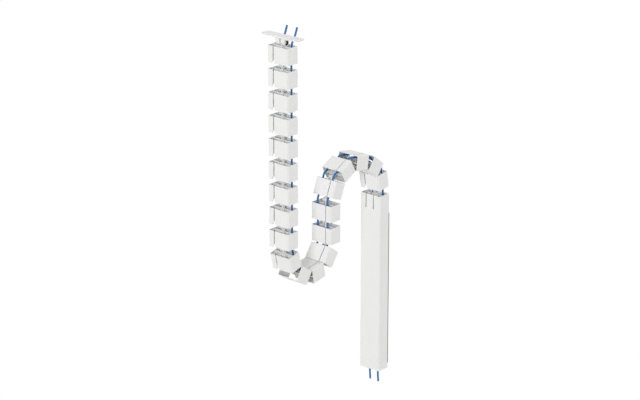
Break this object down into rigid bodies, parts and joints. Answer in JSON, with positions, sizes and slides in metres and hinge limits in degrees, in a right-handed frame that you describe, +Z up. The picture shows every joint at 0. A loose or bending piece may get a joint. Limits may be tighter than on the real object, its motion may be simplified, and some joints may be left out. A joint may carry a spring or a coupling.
{
  "type": "cable spine",
  "caption": "Hinged chain of hollow slit links that guides cables in a loop from a screw-on desk plate to a leg channel as a desk rises.",
  "frame": {"origin": "middle of the bonded face of the leg channel strip, where it meets the desk leg", "axes": "+Y into the desk leg, out of the bonded face; +Z up along the leg channel; +X across the chain, to the right seen from the front"},
  "size_m": [0.122, 0.3974, 1.0525],
  "materials": {
    "white_plastic": "fine satin moulding",
    "foam_strip": "matt closed-cell foam",
    "cable_jacket": "satin cable jacket"
  },
  "bodies": {
    "channel": {"leg_channel": "white_plastic", "channel_adapter": "white_plastic", "leg_strip": "foam_strip", "cable_left": "cable_jacket", "cable_right": "cable_jacket"},
    "link_20": {"link_20": "white_plastic"},
    "link_19": {"link_19": "white_plastic"},
    "link_18": {"link_18": "white_plastic"},
    "link_17": {"link_17": "white_plastic"},
    "link_16": {"link_16": "white_plastic"},
    "link_15": {"link_15": "white_plastic"},
    "link_14": {"link_14": "white_plastic"},
    "link_13": {"link_13": "white_plastic"},
    "link_12": {"link_12": "white_plastic"},
    "link_11": {"link_11": "white_plastic"},
    "link_10": {"link_10": "white_plastic"},
    "link_09": {"link_09": "white_plastic"},
    "link_08": {"link_08": "white_plastic"},
    "link_07": {"link_07": "white_plastic"},
    "link_06": {"link_06": "white_plastic"},
    "link_05": {"link_05": "white_plastic"},
    "link_04": {"link_04": "white_plastic"},
    "link_03": {"link_03": "white_plastic"},
    "link_02": {"link_02": "white_plastic"},
    "link_01": {"link_01": "white_plastic"},
    "desk_plate": {"desk_plate": "white_plastic"}
  },
  "joints": [
    {"name": "hinge_20_channel", "type": "hinge", "parent": "channel", "child": "link_20", "pos_m": [0, -0.02125, 0.2785], "axis": [1, 0, 0], "range_deg": [-55, 35], "deforming": ["cable_left", "cable_right"]},
    {"name": "hinge_19_20", "type": "hinge", "parent": "link_20", "child": "link_19", "pos_m": [0, -0.03174, 0.33801], "axis": [-1, 0, 0], "range_deg": [-2, 88], "deforming": ["cable_left", "cable_right"]},
    {"name": "hinge_18_19", "type": "hinge", "parent": "link_19", "child": "link_18", "pos_m": [0, -0.08001, 0.37438], "axis": [1, 0, 0], "range_deg": [-73, 17], "deforming": ["cable_left", "cable_right"]},
    {"name": "hinge_17_18", "type": "hinge", "parent": "link_18", "child": "link_17", "pos_m": [0, -0.13969, 0.38383], "axis": [-1, 0, 0], "range_deg": [-8, 82], "deforming": ["cable_left", "cable_right"]},
    {"name": "hinge_16_17", "type": "hinge", "parent": "link_17", "child": "link_16", "pos_m": [0, -0.19305, 0.35546], "axis": [1, 0, 0], "range_deg": [-85, 5], "deforming": ["cable_left", "cable_right"]},
    {"name": "hinge_15_16", "type": "hinge", "parent": "link_16", "child": "link_15", "pos_m": [0, -0.21568, 0.29943], "axis": [-1, 0, 0], "range_deg": [-23, 67], "deforming": ["cable_left", "cable_right"]},
    {"name": "hinge_14_15", "type": "hinge", "parent": "link_15", "child": "link_14", "pos_m": [0, -0.21568, 0.239], "axis": [1, 0, 0], "range_deg": [-45, 45], "deforming": ["cable_left", "cable_right"]},
    {"name": "hinge_13_14", "type": "hinge", "parent": "link_14", "child": "link_13", "pos_m": [0, -0.21568, 0.17857], "axis": [-1, 0, 0], "range_deg": [-80, 10], "deforming": ["cable_left", "cable_right"]},
    {"name": "hinge_12_13", "type": "hinge", "parent": "link_13", "child": "link_12", "pos_m": [0, -0.25034, 0.12907], "axis": [1, 0, 0], "range_deg": [-1, 89], "deforming": ["cable_left", "cable_right"]},
    {"name": "hinge_11_12", "type": "hinge", "parent": "link_12", "child": "link_11", "pos_m": [0, -0.30966, 0.11754], "axis": [-1, 0, 0], "range_deg": [-87, 3], "deforming": ["cable_left", "cable_right"]},
    {"name": "hinge_10_11", "type": "hinge", "parent": "link_11", "child": "link_10", "pos_m": [0, -0.36146, 0.14867], "axis": [1, 0, 0], "range_deg": [-1, 89], "deforming": ["cable_left", "cable_right"]},
    {"name": "hinge_09_10", "type": "hinge", "parent": "link_10", "child": "link_09", "pos_m": [0, -0.3771, 0.20704], "axis": [-1, 0, 0], "range_deg": [-60, 30], "deforming": ["cable_left", "cable_right"]},
    {"name": "hinge_08_09", "type": "hinge", "parent": "link_09", "child": "link_08", "pos_m": [0, -0.3771, 0.26747], "axis": [1, 0, 0], "range_deg": [-45, 45], "deforming": ["cable_left", "cable_right"]},
    {"name": "hinge_07_08", "type": "hinge", "parent": "link_08", "child": "link_07", "pos_m": [0, -0.3771, 0.32789], "axis": [-1, 0, 0], "range_deg": [-45, 45], "deforming": ["cable_left", "cable_right"]},
    {"name": "hinge_06_07", "type": "hinge", "parent": "link_07", "child": "link_06", "pos_m": [0, -0.3771, 0.38832], "axis": [1, 0, 0], "range_deg": [-45, 45], "deforming": ["cable_left", "cable_right"]},
    {"name": "hinge_05_06", "type": "hinge", "parent": "link_06", "child": "link_05", "pos_m": [0, -0.3771, 0.44876], "axis": [-1, 0, 0], "range_deg": [-45, 45], "deforming": ["cable_left", "cable_right"]},
    {"name": "hinge_04_05", "type": "hinge", "parent": "link_05", "child": "link_04", "pos_m": [0, -0.3771, 0.50918], "axis": [1, 0, 0], "range_deg": [-45, 45], "deforming": ["cable_left", "cable_right"]},
    {"name": "hinge_03_04", "type": "hinge", "parent": "link_04", "child": "link_03", "pos_m": [0, -0.3771, 0.56961], "axis": [-1, 0, 0], "range_deg": [-45, 45], "deforming": ["cable_left", "cable_right"]},
    {"name": "hinge_02_03", "type": "hinge", "parent": "link_03", "child": "link_02", "pos_m": [0, -0.3771, 0.63004], "axis": [1, 0, 0], "range_deg": [-45, 45], "deforming": ["cable_left", "cable_right"]},
    {"name": "hinge_01_02", "type": "hinge", "parent": "link_02", "child": "link_01", "pos_m": [0, -0.3771, 0.69047], "axis": [-1, 0, 0], "range_deg": [-45, 45], "deforming": ["cable_left", "cable_right"]},
    {"name": "hinge_plate_01", "type": "hinge", "parent": "link_01", "child": "desk_plate", "pos_m": [0, -0.3771, 0.7509], "axis": [1, 0, 0], "range_deg": [-45, 45], "deforming": ["cable_left", "cable_right"]}
  ]
}
